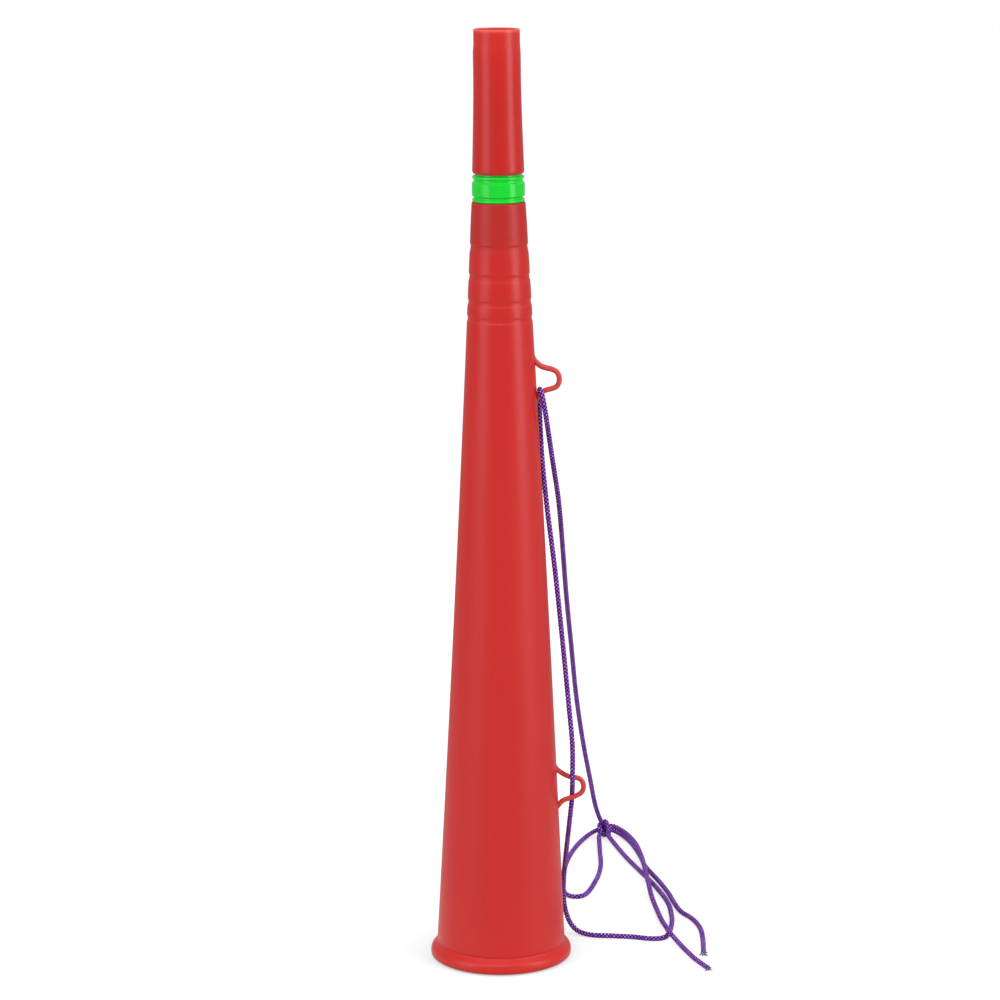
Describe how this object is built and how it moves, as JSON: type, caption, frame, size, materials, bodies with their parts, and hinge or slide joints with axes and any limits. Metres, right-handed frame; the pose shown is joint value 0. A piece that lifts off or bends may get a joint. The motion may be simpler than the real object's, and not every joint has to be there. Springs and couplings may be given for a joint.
{
  "type": "vuvuzela",
  "caption": "Straight tapered plastic stadium horn standing on its bell, with a green coupling ring, a pull-off mouth tube and a braided lanyard on two moulded eyelets.",
  "frame": {"origin": "centre of the body's bounding box, at the level of the bell rim's flat foot; the horn's axis stands 5.0 mm to the -X side of it because the eyelets reach out on +X", "axes": "+Z along the horn's axis from bell to mouth, +X towards the two lanyard eyelets, -Y towards the viewer of the picture"},
  "size_m": [0.1866, 0.3146, 0.62],
  "materials": {
    "red_plastic": "satin moulded, fine mould texture",
    "green_plastic": "glossy moulded",
    "purple_cord": "round braided synthetic cord, melted ends"
  },
  "bodies": {
    "horn": {"horn_body": "red_plastic", "cord_far_strand": "purple_cord", "cord_near_strand": "purple_cord", "cord_floor_run": "purple_cord", "cord_bow_loop": "purple_cord", "cord_outer_tail": "purple_cord", "cord_inner_tail": "purple_cord", "cord_knot": "purple_cord"},
    "coupling": {"coupling_ring": "green_plastic"},
    "mouth": {"mouth_tube": "red_plastic"}
  },
  "joints": [
    {"name": "ring_pull", "type": "slide", "parent": "horn", "child": "coupling", "axis": [0, 0, 1], "range_m": [0, 0.03]},
    {"name": "tube_pull", "type": "slide", "parent": "coupling", "child": "mouth", "axis": [0, 0, 1], "range_m": [0, 0.03]}
  ]
}
